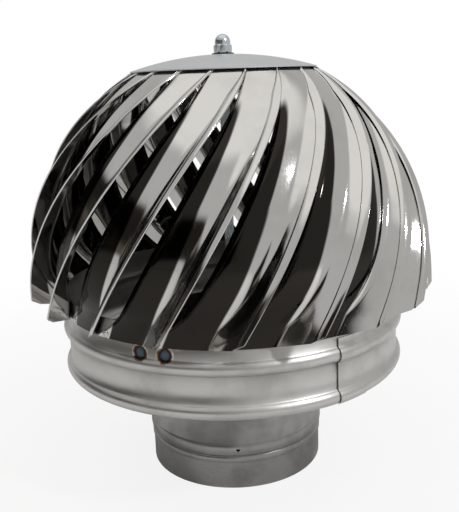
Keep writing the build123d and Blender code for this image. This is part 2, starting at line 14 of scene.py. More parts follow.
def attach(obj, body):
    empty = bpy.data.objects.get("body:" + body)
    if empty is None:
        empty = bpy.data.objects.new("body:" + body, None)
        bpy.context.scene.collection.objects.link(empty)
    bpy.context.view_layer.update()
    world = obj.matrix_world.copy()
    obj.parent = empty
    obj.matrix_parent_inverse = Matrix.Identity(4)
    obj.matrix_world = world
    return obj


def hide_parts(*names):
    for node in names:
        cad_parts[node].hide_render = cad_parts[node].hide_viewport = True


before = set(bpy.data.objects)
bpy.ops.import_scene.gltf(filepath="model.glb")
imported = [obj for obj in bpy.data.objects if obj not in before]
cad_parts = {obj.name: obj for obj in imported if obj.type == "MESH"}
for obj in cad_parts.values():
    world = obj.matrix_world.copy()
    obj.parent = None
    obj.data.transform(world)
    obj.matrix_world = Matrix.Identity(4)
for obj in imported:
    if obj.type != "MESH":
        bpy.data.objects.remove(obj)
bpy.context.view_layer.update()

MM = 0.001

# ---- vanes, as in the part but for two sizes ----
VANES = 19
PITCH = 360.0 / VANES
FIRST_AZIMUTH = -0.4        # the first vane's fold at its foot
FOLD_RADIUS = 170.2         # folded edge at its widest; the part has 170.5
WIDEST_Z = 172.0
CROWN_RISE = 183.71         # from the widest place to where the dome would close
FOOT_Z = 147.0
CAP_RIM_Z = 336.56
SKIRT_TOP = 162.0
SWIRL_EVEN = 38.5           # turn of a fold from foot to cap, evenly spread
SWIRL_CROWN = 11.6          # further turn, most of it near the cap
SWIRL_POWER = 5
SHEET = 0.7
PANEL_SLOPE = 55.0          # slope of the steep panel behind the fold
BEND_RADIUS = 10.0          # between the panel and the pocket's floor
HEM_WIDTH = 6.0
HEM_SLOPE = 40.0
HEM_CLEAR = 0.6
HEM_PLACES = (1.0, 0.5, 0.12)       # points along the hem, as shares of its width
FOLD_ROUND = ((0.35, 0.1), (1.0, 0.25), (1.65, 0.1))    # round of the fold, in sheets
POCKET_DEPTH = 44.0         # a quarter of it is added at half height
POCKET_AT_CAP = 2.2         # depth left at the cap; the part has 3.4
FOOT_SPREAD = 1.25
FOOT_POWER = 6
SLOT_LEAD = 1.5             # angle from a fold to the next vane's inner edge
SLOT_LEAD_FOOT = -8.2
SLOT_FOOT_POWER = 10
SLOT_CAP_POWER = 6
VANE_PLAY = 1.8
FLANGE = 6.0                # lip along the inner edge
FLANGE_DROP = 3.0
FLANGE_CURVE = 1.6
TIP_RISE = 0.35             # rise of the foot's edge outside the skirt
TIP_CUT_RADIUS = 165.0
TIP_CUT_SLOPE = 1.1
CAP_GAP = 0.35              # between the vanes' heads and the cap
VANE_LEVELS = 44
TRIM_ROUNDS = 3             # repeats that settle a trimmed edge's height
PANEL_STEPS, BEND_STEPS, FLOOR_STEPS, FLANGE_STEPS = 4, 8, 9, 5

# Zones of painted shade in a pocket, a dark colour that stands for its dark reflections: azimuth
# behind the fold, half width, and the shares of the height at which the zone starts to narrow and
# ends.
POCKET_SHADE_ZONES = ((-13.4, 6.6, 0.15, 0.62), (-14.8, 5.6, 0.45, 0.88))
POCKET_SHADE_COLOUR = (0.034, 0.031, 0.027)
POCKET_SHADE_CLOUDS = 0.25          # how far clouds move the painted shade's edge
POCKET_SHADE_EDGE = (1.06, 1.16)

# ---- skirt, neck and cap, as in the part ----
SKIRT_RADIUS = 141.8
SKIRT_BOTTOM = 93.5
SKIRT_SHEET = 0.8
SEAM_AZIMUTH = 32.0
SEAM_LAP = 11.0             # width of the seam's lap, in degrees
LAP_TOP = FOOT_Z - 2
LAP_STAND = 0.9             # outside of the lap over the skirt
LAP_SHEET = 0.8
LAP_LIFT = 0.5              # how far the lap's free edge stands off
LAP_CLEAR = 0.02
SPOT_WELDS = ((-28.2, 140.9), (-20.1, 141.3))           # azimuth and height
SPOT_RADIUS = 7.0
SPOT_PROFILE = ((1.0, 0.02), (0.93, 0.14), (0.8, 0.16), (0.7, 0.06), (0.4, 0.05), (0.1, 0.05))
DRILLED_HOLES = ((-46.8, 147.6), (-31.2, 155.6))        # azimuth and height
HOLE_RADIUS = 1.4
DISC_LIFT = 0.08            # thickness of the dark discs, painted shade, that stand for holes
SEAM_DOTS = ((33.6, 129.0), (35.4, 99.0))               # azimuth and height
SEAM_DOT_PROFILE = ((1.2, 0), (1.0, 0.35), (0.5, 0.5))
SEAM_DOT_STAND = 1.3
RIVET_Z = 150.2
RIVET_INSET = 3.5
RIVET_RADIUS = 3.1
RIVET_RIM = 0.3
RIVET_DOME = 0.8
RIVET_DIMPLE = ((1.1, 1.0), (1.0, 0.6))
LOWER_BEAD_TOP = 105.1
UPPER_BEAD = (126.2, 138.3)
BEAD_RISE = 3.9
SEAT = SKIRT_RADIUS + 0.5 + SHEET
NECK_RADIUS = 75.0
NECK_SHEET = 0.8
NECK_STEP_Z = 22.7
NECK_STEP = 0.8
NECK_STEP_POINTS = 5
STEP_LEAD = 0.6             # plain wall kept before a step or a bead
STOP_BEAD = (28.7, 39.5)
STOP_BEAD_RISE = 1.6
NECK_TOP = 128.0
FIXING_HOLE = (0.6, 34.4)   # azimuth and height
FIXING_HOLE_SIZE = (3.4, 2.4)
FIXING_SHADE_RADIUS = 2.6   # dark disc behind the hole
FIXING_SHADE_DEPTH = 1.0
CUT_LENGTH = 8
CAP_RADIUS = 76.2
CAP_TOP = 349.0
CAP_SHEET = 0.8
CAP_CROWN_RADIUS = 253.0
CAP_FLAT = 10.0
CAP_RINGS = 16
SHAFT_HOLE = 4.05
NUT_FLATS = 13.0
NUT_Z = 350.0
NUT_HEX = 6.5
NUT_TOP = 365.0
NUT_DOME = 6.3
NUT_SIDES = 72
NUT_CHAMFER = 0.6           # share of the corners' height over the flats
NUT_FOOT = 0.25
NUT_FOOT_FULL = 0.4
NUT_INSCRIBED = 0.99
NUT_DOME_LIFT = 0.2
NUT_DOME_STEP = 10
TURNS = 144                 # divisions of every round piece

# ---- photograph ----
PHOTO_HIGH = 512
LENS_PIXELS = 730.2
SENSOR_HIGH = 36.0
CAMERA_AT = (0.0, -0.6181, 0.329)
CAMERA_DOWN = 0.2373        # radians, as the two below
CAMERA_ROLL = -0.0364
CAMERA_TURN = -0.001

# ---- studio: heights in the world are sines of the elevation ----
DIM_FROM, DIM_TO = -122.0, 0.0      # azimuths between which the studio is dim
DIM_SOFT = 8                # degrees over which it fades in and out
DIM_RISE = 0.08             # height by which the dim side is full
DIM_TOP, DIM_TOP_SOFT = 0.44, 0.04  # height at which it ends
DIM_COLOURS = (0.014, 0.012, 0.010), (0.16, 0.14, 0.12)
DIM_SHAPES, DIM_SHAPES_RANGE = 2.2, (0.5, 0.72)
WALL_COLOUR = (0.50, 0.50, 0.495)
CEILING_COLOUR = (0.88, 0.87, 0.85)
CEILING_RANGE = (0.74, 0.84)
WHITE = (1, 1, 1)
FLOOR_RADIUS = 3.0
FLOOR_DROP = 0.0005
FLOOR_GREY = 0.9
FLOOR_ROUGH = 0.9
FLOOR_GLOSS = 0.1
SHADOW_REACH = (0.15, 0.8)  # metres from the axis over which the floor turns fully white
SHADOW_WHITE = 0.85         # its share of white next to the object
KEY_AT, KEY_TOWARDS = (1.1, -0.9, 1.25), (0, 0, 0.2)
KEY_SIZE, KEY_POWER = (0.16, 0.16), 7

# ---- materials ----
CLOUD_SCALE = (22, 22, 22)
TONE_RANGE = (0.42, 0.72)
POLISH_RANGE = (0.35, 0.75)
LINE_RANGE, LINE_SHARE = (0.4, 0.7), 0.4
DRAWN = (900, 900, 40)      # fine lines that run up the sheet
ROLLED = (60, 60, 1400)     # fine lines that run round it
TINT_STOPS = ((0.0, (0.10, 0.13, 0.15, 1)), (0.50, (0.06, 0.08, 0.10, 1)),
              (0.66, (0.015, 0.018, 0.03, 1)), (0.78, (0.05, 0.025, 0.015, 1)),
              (0.90, (0.22, 0.14, 0.08, 1)), (1.0, (0.50, 0.47, 0.43, 1)))
TINT_WOBBLE = 0.5           # shares of a tint's reach
TINT_RANGE = (0.1, 1.35)
TINT_EDGE = (0.9, 1.0)
GRAIN_CONTRAST = 1.8


def place(radius, azimuth, height):
    """Point in metres from millimetres, with the azimuth counted from the front."""
    turn = radians(azimuth)
    return Vector((radius * sin(turn), -radius * cos(turn), height)) * MM


def mesh_piece(name, points, faces, body, material, sharp):
    """Smooth-shaded piece on a body; edges steeper than sharp, in degrees, stay hard."""
    mesh = bpy.data.meshes.new(name)
    mesh.from_pydata([tuple(p) for p in points], [], faces)
    mesh.update()
    mesh.shade_smooth()
    mesh.set_sharp_from_angle(angle=radians(sharp))
    mesh.materials.append(material)
    piece = bpy.data.objects.new(name, mesh)
    bpy.context.scene.collection.objects.link(piece)
    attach(piece, body)
    return piece


def copy_turned(piece, name, azimuth, body):
    """Another piece with the same mesh, turned about the axis."""
    twin = bpy.data.objects.new(name, piece.data)
    bpy.context.scene.collection.objects.link(twin)
    twin.matrix_world = Matrix.Rotation(radians(azimuth), 4, "Z")
    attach(twin, body)
    return twin


def quads_up(a, b, count):
    """Quads that join a closed ring of points to the next one."""
    return [(a + i, a + (i + 1) % count, b + (i + 1) % count, b + i) for i in range(count)]


def quads_round(a, b, count):
    """Quads that join a closed profile to its next turn."""
    return [(a + i, b + i, b + (i + 1) % count, a + (i + 1) % count) for i in range(count)]


def spun_piece(name, profile, body, material, sharp):
    """Closed profile of radius, height points in millimetres, spun about the axis."""
    points = [place(r, 360.0 * turn / TURNS, z) for turn in range(TURNS) for r, z in profile]
    count = len(profile)
    faces = []
    for turn in range(TURNS):
        faces += quads_round(turn * count, (turn + 1) % TURNS * count, count)
    return mesh_piece(name, points, faces, body, material, sharp)


def eased(share):
    """Share of a step that starts and ends level."""
    return share * share * (3 - 2 * share)


def bead(low, high, radius, rise, steps=14):
    """Round-crested bead rolled outwards between two heights."""
    points = []
    for i in range(steps + 1):
        share = i / steps
        swell = sin(math.pi * share) ** 0.75 if 0 < share < 1 else 0.0
        points.append((radius + rise * swell, low + (high - low) * share))
    return points


def wall(outside, sheet):
    """Closed profile of a wall from its outside points, rising."""
    return outside + [(r - sheet, z) for r, z in reversed(outside)]


# ---- materials ----

def new_material(name):
    material = bpy.data.materials.new(name)
    material.use_nodes = True
    return material, material.node_tree, material.node_tree.nodes["Principled BSDF"]


def node(tree, kind, **values):
    made = tree.nodes.new(kind)
    for key, value in values.items():
        if hasattr(made, key):
            setattr(made, key, value)
        else:
            made.inputs[key.replace("_", " ")].default_value = value
    return made


def scaled_position(tree, scale):
    """The object's own coordinates, stretched."""
    place_in = node(tree, "ShaderNodeTexCoord")
    stretch = node(tree, "ShaderNodeMapping")
    stretch.inputs["Scale"].default_value = scale
    tree.links.new(place_in.outputs["Object"], stretch.inputs["Vector"])
    return stretch.outputs["Vector"]


def ramp(tree, source, low, high, low_value, high_value):
    """Smooth change from one value to another between two values of the source."""
    spread = node(tree, "ShaderNodeMapRange", interpolation_type="SMOOTHSTEP")
    spread.inputs["From Min"].default_value = low
    spread.inputs["From Max"].default_value = high
    spread.inputs["To Min"].default_value = low_value
    spread.inputs["To Max"].default_value = high_value
    tree.links.new(source, spread.inputs["Value"])
    return spread.outputs["Result"]


def ramp_straight(tree, source, low, high):
    """Share from 0 to 1 between two values of the source."""
    spread = node(tree, "ShaderNodeMapRange")
    spread.inputs["From Min"].default_value = low
    spread.inputs["From Max"].default_value = high
    tree.links.new(source, spread.inputs["Value"])
    return spread.outputs["Result"]


def math_node(tree, operation, *values):
    """Math node whose inputs are numbers or other nodes' outputs."""
    made = node(tree, "ShaderNodeMath", operation=operation)
    for socket, value in zip(made.inputs, values):
        if isinstance(value, (int, float)):
            socket.default_value = value
        else:
            tree.links.new(value, socket)
    return made.outputs["Value"]


def least(tree, values):
    """Smallest of several nodes' outputs."""
    smallest = values[0]
    for value in values[1:]:
        smallest = math_node(tree, "MINIMUM", smallest, value)
    return smallest


def mixed(tree, factor, first, second):
    """Mix of two colours, each given as three numbers or as another node's output."""
    made = node(tree, "ShaderNodeMix", data_type="RGBA")
    tree.links.new(factor, made.inputs["Factor"])
    for name, colour in (("A", first), ("B", second)):
        if isinstance(colour, tuple):
            made.inputs[name].default_value = (*colour, 1)
        else:
            tree.links.new(colour, made.inputs[name])
    return made.outputs["Result"]


def steel(name, colour, dull_colour, smooth, rough, wave, wave_scale, streaks=DRAWN):
    """Stainless sheet: marks vary its polish, rolling leaves fine lines, and it ripples."""
    material, tree, shader = new_material(name)
    shader.inputs["Metallic"].default_value = 1.0
    clouds = node(tree, "ShaderNodeTexNoise", Scale=1.0, Detail=5.0, Roughness=0.6)
    tree.links.new(scaled_position(tree, CLOUD_SCALE), clouds.inputs["Vector"])
    lines = node(tree, "ShaderNodeTexNoise", Scale=1.0, Detail=2.0)
    tree.links.new(scaled_position(tree, streaks), lines.inputs["Vector"])
    marked = ramp(tree, clouds.outputs["Fac"], *TONE_RANGE, 0.0, 1.0)
    tone = mixed(tree, marked, colour, dull_colour)
    tree.links.new(tone, shader.inputs["Base Color"])
    polish = ramp(tree, clouds.outputs["Fac"], *POLISH_RANGE, smooth, rough)
    drawn = ramp(tree, lines.outputs["Fac"], *LINE_RANGE, 0.0, (rough - smooth) * LINE_SHARE)
    tree.links.new(math_node(tree, "ADD", polish, drawn), shader.inputs["Roughness"])
    ripples = node(tree, "ShaderNodeTexNoise", Scale=1.0, Detail=1.0)
    tree.links.new(scaled_position(tree, (wave_scale,) * 3), ripples.inputs["Vector"])
    bump = node(tree, "ShaderNodeBump", Strength=1.0, Distance=wave)
    tree.links.new(ripples.outputs["Fac"], bump.inputs["Height"])
    tree.links.new(bump.outputs["Normal"], shader.inputs["Normal"])
    return material


def shade_zone_reach(tree, behind_fold, share, azimuth, half_width, middle, top):
    """Grows from 0 to 1 at the edge of a zone that runs from the foot up to a rounded top."""
    across = math_node(tree, "SUBTRACT", behind_fold, azimuth)
    across = math_node(tree, "DIVIDE", across, half_width)
    above = math_node(tree, "MAXIMUM", math_node(tree, "SUBTRACT", share, middle), 0.0)
    above = math_node(tree, "DIVIDE", above, top - middle)
    squares = [math_node(tree, "MULTIPLY", value, value) for value in (across, above)]
    return math_node(tree, "SQRT", math_node(tree, "ADD", *squares))


def painted_pocket_shade(material):
    """Paints shade into a vane's steel in its pocket, a dark colour standing for the pocket's dark
    reflections, by the place of each point on the first vane.
    """
    tree = material.node_tree
    shader = tree.nodes["Principled BSDF"]
    before = shader.inputs["Base Color"].links[0].from_socket
    spot = node(tree, "ShaderNodeAttribute", attribute_name="first_vane_place").outputs["Vector"]
    split = node(tree, "ShaderNodeSeparateXYZ")
    tree.links.new(spot, split.inputs["Vector"])
    share = ramp_straight(tree, split.outputs["Z"], FOOT_Z * MM, CAP_RIM_Z * MM)
    late = math_node(tree, "POWER", share, SWIRL_POWER)
    swirl = math_node(tree, "ADD", math_node(tree, "MULTIPLY", share, SWIRL_EVEN),
                      math_node(tree, "MULTIPLY", late, SWIRL_CROWN))
    front = math_node(tree, "MULTIPLY", split.outputs["Y"], -1.0)
    azimuth = math_node(tree, "DEGREES", math_node(tree, "ARCTAN2", split.outputs["X"], front))
    behind_fold = math_node(tree, "SUBTRACT", math_node(tree, "SUBTRACT", azimuth, swirl),
                            FIRST_AZIMUTH)
    zones = [shade_zone_reach(tree, behind_fold, share, *zone) for zone in POCKET_SHADE_ZONES]
    reach = least(tree, zones)
    clouds = node(tree, "ShaderNodeTexNoise", Scale=12.0, Detail=2.0)
    tree.links.new(spot, clouds.inputs["Vector"])
    uneven = math_node(tree, "MULTIPLY_ADD", clouds.outputs["Fac"], POCKET_SHADE_CLOUDS, reach)
    # painted shade: the pocket's dark reflections mixed into the base colour
    pocket_shade = mixed(tree, ramp(tree, uneven, *POCKET_SHADE_EDGE, 1.0, 0.0), before, POCKET_SHADE_COLOUR)
    tree.links.new(pocket_shade, shader.inputs["Base Color"])


def tinted(material, spots, reach):
    """Adds welding heat tint round spots given in metres: grey middle, dark ring, straw edge."""
    tree = material.node_tree
    shader = tree.nodes["Principled BSDF"]
    before = shader.inputs["Base Color"].links[0].from_socket
    coordinates = node(tree, "ShaderNodeTexCoord")
    gaps = []
    for spot in spots:
        gap = node(tree, "ShaderNodeVectorMath", operation="DISTANCE")
        tree.links.new(coordinates.outputs["Object"], gap.inputs[0])
        gap.inputs[1].default_value = spot
        gaps.append(gap.outputs["Value"])
    nearest = least(tree, gaps)
    wobble = node(tree, "ShaderNodeTexNoise", Scale=260.0, Detail=2.0)
    tree.links.new(coordinates.outputs["Object"], wobble.inputs["Vector"])
    uneven = math_node(tree, "MULTIPLY_ADD", wobble.outputs["Fac"], reach * TINT_WOBBLE, nearest)
    rings = node(tree, "ShaderNodeValToRGB")
    while len(rings.color_ramp.elements) < len(TINT_STOPS):
        rings.color_ramp.elements.new(0.5)
    for element, (at, colour) in zip(rings.color_ramp.elements, TINT_STOPS):
        element.position, element.color = at, colour
    share = ramp(tree, uneven, reach * TINT_RANGE[0], reach * TINT_RANGE[1], 0.0, 1.0)
    tree.links.new(share, rings.inputs["Fac"])
    tint = mixed(tree, ramp(tree, share, *TINT_EDGE, 0.0, 1.0), rings.outputs["Color"], before)
    tree.links.new(tint, shader.inputs["Base Color"])


def dark_material(name, colour, roughness):
    """Matt dark material with a fine grain."""
    material, tree, shader = new_material(name)
    grain = node(tree, "ShaderNodeTexNoise", Scale=900.0, Detail=3.0)
    bump = node(tree, "ShaderNodeBump", Strength=0.4, Distance=0.0002)
    tone = mixed(tree, grain.outputs["Fac"], colour, tuple(c * GRAIN_CONTRAST for c in colour))
    tree.links.new(tone, shader.inputs["Base Color"])
    tree.links.new(grain.outputs["Fac"], bump.inputs["Height"])
    tree.links.new(bump.outputs["Normal"], shader.inputs["Normal"])
    shader.inputs["Roughness"].default_value = roughness
    return material


mirror = steel("mirror_stainless", (0.74, 0.73, 0.71), (0.66, 0.65, 0.625),
               smooth=0.05, rough=0.12, wave=0.0010, wave_scale=26)
# The vanes' pockets get painted shade in their base colour.
painted_pocket_shade(mirror)
satin = steel("satin_stainless", (0.66, 0.65, 0.63), (0.52, 0.51, 0.49),
              smooth=0.30, rough=0.44, wave=0.0005, wave_scale=40, streaks=ROLLED)
tinted(satin, [place(SKIRT_RADIUS, *spot) for spot in SPOT_WELDS], SPOT_RADIUS * MM)
# Darker than the other stainless: painted shade for the shadowed floor that the neck reflects under
# the skirt.
shaded_neck_steel = steel("neck_stainless_shaded", (0.42, 0.41, 0.40), (0.28, 0.27, 0.26),
                   smooth=0.26, rough=0.40, wave=0.0008, wave_scale=30, streaks=ROLLED)
cap_steel = steel("cap_stainless", (0.80, 0.81, 0.83), (0.72, 0.73, 0.75),
                  smooth=0.38, rough=0.48, wave=0.0002, wave_scale=60)
rivet_steel = steel("rivet_steel", (0.72, 0.71, 0.69), (0.56, 0.55, 0.53),
                    smooth=0.12, rough=0.22, wave=0.0001, wave_scale=200)
zinc = steel("zinc_steel", (0.74, 0.80, 0.84), (0.60, 0.67, 0.71),
             smooth=0.16, rough=0.30, wave=0.0002, wave_scale=160)
ground = steel("bearing_steel", (0.60, 0.60, 0.61), (0.48, 0.48, 0.49),
               smooth=0.18, rough=0.30, wave=0.0001, wave_scale=120)
rubber = dark_material("black_rubber", (0.018, 0.018, 0.02), 0.75)
hole_dark = dark_material("hole_shadow", (0.01, 0.01, 0.01), 0.9)


# ---- vanes ----

def share_of_height(z):
    """0 at the vanes' foot and 1 at the cap's rim."""
    return (z - FOOT_Z) / (CAP_RIM_Z - FOOT_Z)


def kept_share(z):
    """The same, held between 0 and 1."""
    return min(1.0, max(0.0, share_of_height(z)))


def fold_radius(z):
    """Radius of the folded edge: straight up to the widest place, then a dome."""
    rise = max(0.0, z - WIDEST_Z) / CROWN_RISE
    return FOLD_RADIUS * sqrt(1 - rise ** 2)


def fold_slope(z):
    rise = max(0.0, z - WIDEST_Z) / CROWN_RISE
    return -FOLD_RADIUS * rise / CROWN_RISE / sqrt(1 - rise ** 2)


def fold_azimuth(z):
    share = share_of_height(z)
    return FIRST_AZIMUTH + SWIRL_EVEN * share + SWIRL_CROWN * max(0.0, share) ** SWIRL_POWER


def pocket_depth(z):
    """Depth of the pocket's floor behind the fold; at the foot it lies on the skirt."""
    share = kept_share(z)
    full = FOLD_RADIUS - SEAT
    foot = FOOT_SPREAD * full * (1 - share) ** FOOT_POWER
    return min(full, foot + POCKET_DEPTH * share * (1 - share) + POCKET_AT_CAP)


def foot_share(z):
    return (1 - kept_share(z)) ** SLOT_FOOT_POWER


def slot_share(z):
    return (1 - foot_share(z)) * (1 - kept_share(z) ** SLOT_CAP_POWER)


def inner_edge(z):
    """Azimuth of the sheet's inner edge, counted from its own fold."""
    return SLOT_LEAD * slot_share(z) + SLOT_LEAD_FOOT * foot_share(z) + VANE_PLAY - PITCH


def level_point(radius, azimuth):
    return Vector((radius * sin(radians(azimuth)), radius * cos(radians(azimuth))))


def face_run(fold, depth, start, offset, z):
    """One face of the sheet on a level plane: panel, bend, pocket floor, inner flange."""
    floor = fold - depth - offset
    run = Vector((-cos(radians(PANEL_SLOPE)), -sin(radians(PANEL_SLOPE))))
    along = -start.dot(run)
    length = along - sqrt(along ** 2 - start.dot(start) + floor ** 2)
    corner = start + run * length
    corner_azimuth = degrees(atan2(corner.x, corner.y))
    turn = radians(PANEL_SLOPE + corner_azimuth)
    reach = min((BEND_RADIUS + offset) * tan(turn / 2), length / 2)
    bend_end = corner - run * reach
    bend_azimuth = corner_azimuth - degrees(reach / floor)
    bend_start = level_point(floor, bend_azimuth)
    points = [start.lerp(bend_end, i / PANEL_STEPS) for i in range(PANEL_STEPS + 1)]
    for i in range(1, BEND_STEPS):
        t = i / BEND_STEPS
        points.append(bend_end * (1 - t) ** 2 + corner * (2 * t * (1 - t)) + bend_start * t ** 2)
    edge = inner_edge(z)
    flange = edge + degrees(FLANGE / floor)
    points += [level_point(floor, bend_azimuth + (flange - bend_azimuth) * i / FLOOR_STEPS)
               for i in range(FLOOR_STEPS + 1)]
    drop = FLANGE_DROP * slot_share(z) if z > SKIRT_TOP else 0.0
    for i in range(1, FLANGE_STEPS + 1):
        share = i / FLANGE_STEPS
        points.append(level_point(floor - drop * share ** FLANGE_CURVE,
                                  flange + (edge - flange) * share))
    return points


def vane_ring(z):
    """Closed outline of the vane's sheet at a height, its fold straight ahead, in millimetres."""
    fold, depth = fold_radius(z), pocket_depth(z)
    sheet = SHEET * sqrt(1 + fold_slope(z) ** 2)
    across = radians((PANEL_SLOPE + HEM_SLOPE) / 2)
    step_in = Vector((sin(across), -cos(across))) * sheet
    along_fold = Vector((cos(across), sin(across))) * sheet
    crest = Vector((0.0, fold))
    back = crest + step_in * 2
    groove = crest + step_in - along_fold
    hem_room = groove.y - (fold - depth) - HEM_CLEAR
    hem_wide = min(HEM_WIDTH, hem_room / sin(radians(HEM_SLOPE)))
    hem = Vector((-cos(radians(HEM_SLOPE)), -sin(radians(HEM_SLOPE)))) * hem_wide
    outer = [crest + hem * share for share in HEM_PLACES]
    outer += [crest + step_in * inwards + along_fold * along for inwards, along in FOLD_ROUND]
    outer += face_run(fold, depth, back, sheet, z)
    inner = [groove + hem * share for share in HEM_PLACES[:2]]
    inner += face_run(fold, depth, groove, 0.0, z)
    return outer + inner[::-1]


def lifted(point, z):
    """A point of an outline at its height, turned with the fold, in metres."""
    return place(hypot(point.x, point.y), fold_azimuth(z) + degrees(atan2(point.x, point.y)), z)


def trimmed_ring(z, edge_height):
    """Outline whose every point lies at the height that the trimmed edge has at its radius."""
    ring = vane_ring(z)
    for _ in range(TRIM_ROUNDS):
        heights = [edge_height(hypot(p.x, p.y)) for p in ring]
        ring = [vane_ring(h)[i] for i, h in enumerate(heights)]
    return [lifted(p, h) for p, h in zip(ring, heights)]


def foot_height(radius):
    """Height of the vane's lower edge, which rises outside the skirt and is cut at its tip."""
    slanted = max(0.0, min(radius, TIP_CUT_RADIUS) - SEAT)
    cut = max(0.0, radius - TIP_CUT_RADIUS)
    return FOOT_Z + slanted * TIP_RISE + cut * TIP_CUT_SLOPE


def dome_height(radius):
    """Top of the cap: flat in the middle, then part of a sphere."""
    out = max(radius, CAP_FLAT)
    drop = CAP_CROWN_RADIUS - sqrt(CAP_CROWN_RADIUS ** 2 - out ** 2 + CAP_FLAT ** 2)
    return CAP_TOP - drop


def vane_head_height(radius):
    return dome_height(radius) - CAP_SHEET - CAP_GAP


def make_vane():
    rings = [trimmed_ring(FOOT_Z, foot_height)]
    first = math.asin((SKIRT_TOP - WIDEST_Z) / CROWN_RISE)
    last = math.asin((CAP_RIM_Z - WIDEST_Z) / CROWN_RISE)
    for i in range(VANE_LEVELS):
        z = WIDEST_Z + CROWN_RISE * sin(first + (last - first) * i / VANE_LEVELS)
        rings.append([lifted(p, z) for p in vane_ring(z)])
    rings.append(trimmed_ring(CAP_RIM_Z, vane_head_height))
    count = len(rings[0])
    points = [p for ring in rings for p in ring]
    faces = [tuple(range(count))[::-1], tuple(range(len(points) - count, len(points)))]
    for level in range(len(rings) - 1):
        faces += quads_up(level * count, (level + 1) * count, count)
    return mesh_piece("bright_vane_01", points, faces, "rotor", mirror, sharp=50)


def turned_in_place(piece):
    """Moves a piece's turn into its own mesh, so that its box is no wider than its shape."""
    piece.data = piece.data.copy()
    piece.data.transform(piece.matrix_world)
    piece.matrix_world = Matrix.Identity(4)


first_vane = make_vane()
first_places = first_vane.data.attributes.new("first_vane_place", "FLOAT_VECTOR", "POINT")
for vertex in first_vane.data.vertices:
    first_places.data[vertex.index].vector = vertex.co
for number in range(VANES):
    name = f"bright_vane_{number + 1:02d}"
    if number:
        piece = copy_turned(first_vane, name, number * PITCH, "rotor")
        turned_in_place(piece)
    else:
        piece = first_vane
    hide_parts(f"vane_{number + 1:02d}")


# ---- skirt, neck and cap ----

skirt_outside = bead(SKIRT_BOTTOM, LOWER_BEAD_TOP, SKIRT_RADIUS, BEAD_RISE)
skirt_outside += bead(*UPPER_BEAD, SKIRT_RADIUS, BEAD_RISE) + [(SKIRT_RADIUS, SKIRT_TOP)]
skirt = spun_piece("smooth_skirt", wall(skirt_outside, SKIRT_SHEET), "rotor", satin, sharp=60)
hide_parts("rotor_skirt")


def turned_profile_strip(name, profile, first, last, offset, body, material, steps=16):
    """Strip of spun sheet between two azimuths; its first edge stands off, its last lies close."""
    points = []
    for step in range(steps + 1):
        share = step / steps
        lift = offset * (1 - eased(share)) + LAP_CLEAR
        points += [place(r + lift, first + (last - first) * share, z) for r, z in profile]
    count = len(profile)
    faces = [tuple(range(count)), tuple(range(steps * count, (steps + 1) * count))[::-1]]
    for step in range(steps):
        faces += quads_round(step * count, (step + 1) * count, count)
    return mesh_piece(name, points, faces, body, material, sharp=60)


lap_outside = [(r + LAP_STAND, z) for r, z in skirt_outside if z <= LAP_TOP]
lap_outside.append((SKIRT_RADIUS + LAP_STAND, LAP_TOP))
lap = turned_profile_strip("skirt_seam_lap", wall(lap_outside, LAP_SHEET), SEAM_AZIMUTH,
                           SEAM_AZIMUTH + SEAM_LAP, LAP_LIFT, "rotor", satin)


def domes(name, places, profile, body, material, sides=20):
    """Small round pieces set square on a round wall; profile is radius and height off the wall."""
    points, faces, up = [], [], Vector((0, 0, 1))
    for radius, azimuth, height in places:
        centre = place(radius, azimuth, height)
        out = place(1, azimuth, 0).normalized()
        side = up.cross(out)
        base = len(points)
        for r, lift in profile:
            for i in range(sides):
                turn = 2 * math.pi * i / sides
                round_it = (side * cos(turn) + up * sin(turn)) * r * MM
                points.append(centre + round_it + out * lift * MM)
        for ring in range(len(profile) - 1):
            faces += quads_up(base + ring * sides, base + (ring + 1) * sides, sides)
        faces.append(tuple(base + (len(profile) - 1) * sides + i for i in range(sides)))
        faces.append(tuple(base + i for i in range(sides))[::-1])
    return mesh_piece(name, points, faces, body, material, sharp=50)


head = [(RIVET_RADIUS, 0), (RIVET_RADIUS, RIVET_RIM)]
head += [(RIVET_RADIUS * cos(radians(a)), RIVET_RIM + RIVET_DOME * sin(radians(a)))
         for a in (20, 40, 58)]
head += RIVET_DIMPLE
rivet_turn = fold_azimuth(RIVET_Z) + inner_edge(RIVET_Z) + degrees(RIVET_INSET / SEAT)
rivet_places = [(SEAT, rivet_turn + i * PITCH, RIVET_Z) for i in range(VANES)]
rivets = domes("domed_rivets", rivet_places, head, "rotor", rivet_steel)
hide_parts("vane_rivets")
# Dark discs of painted shade stand for the drilled holes.
holes = domes("drilled_holes", [(SEAT, *spot) for spot in DRILLED_HOLES],
              [(HOLE_RADIUS, 0), (HOLE_RADIUS, DISC_LIFT)], "rotor", hole_dark)
dots = domes("seam_rivets", [(SKIRT_RADIUS + SEAM_DOT_STAND, *spot) for spot in SEAM_DOTS],
             SEAM_DOT_PROFILE, "rotor", rivet_steel)
welds = domes("spot_welds", [(SKIRT_RADIUS, *spot) for spot in SPOT_WELDS],
              [(SPOT_RADIUS * share, lift) for share, lift in SPOT_PROFILE], "rotor", satin)


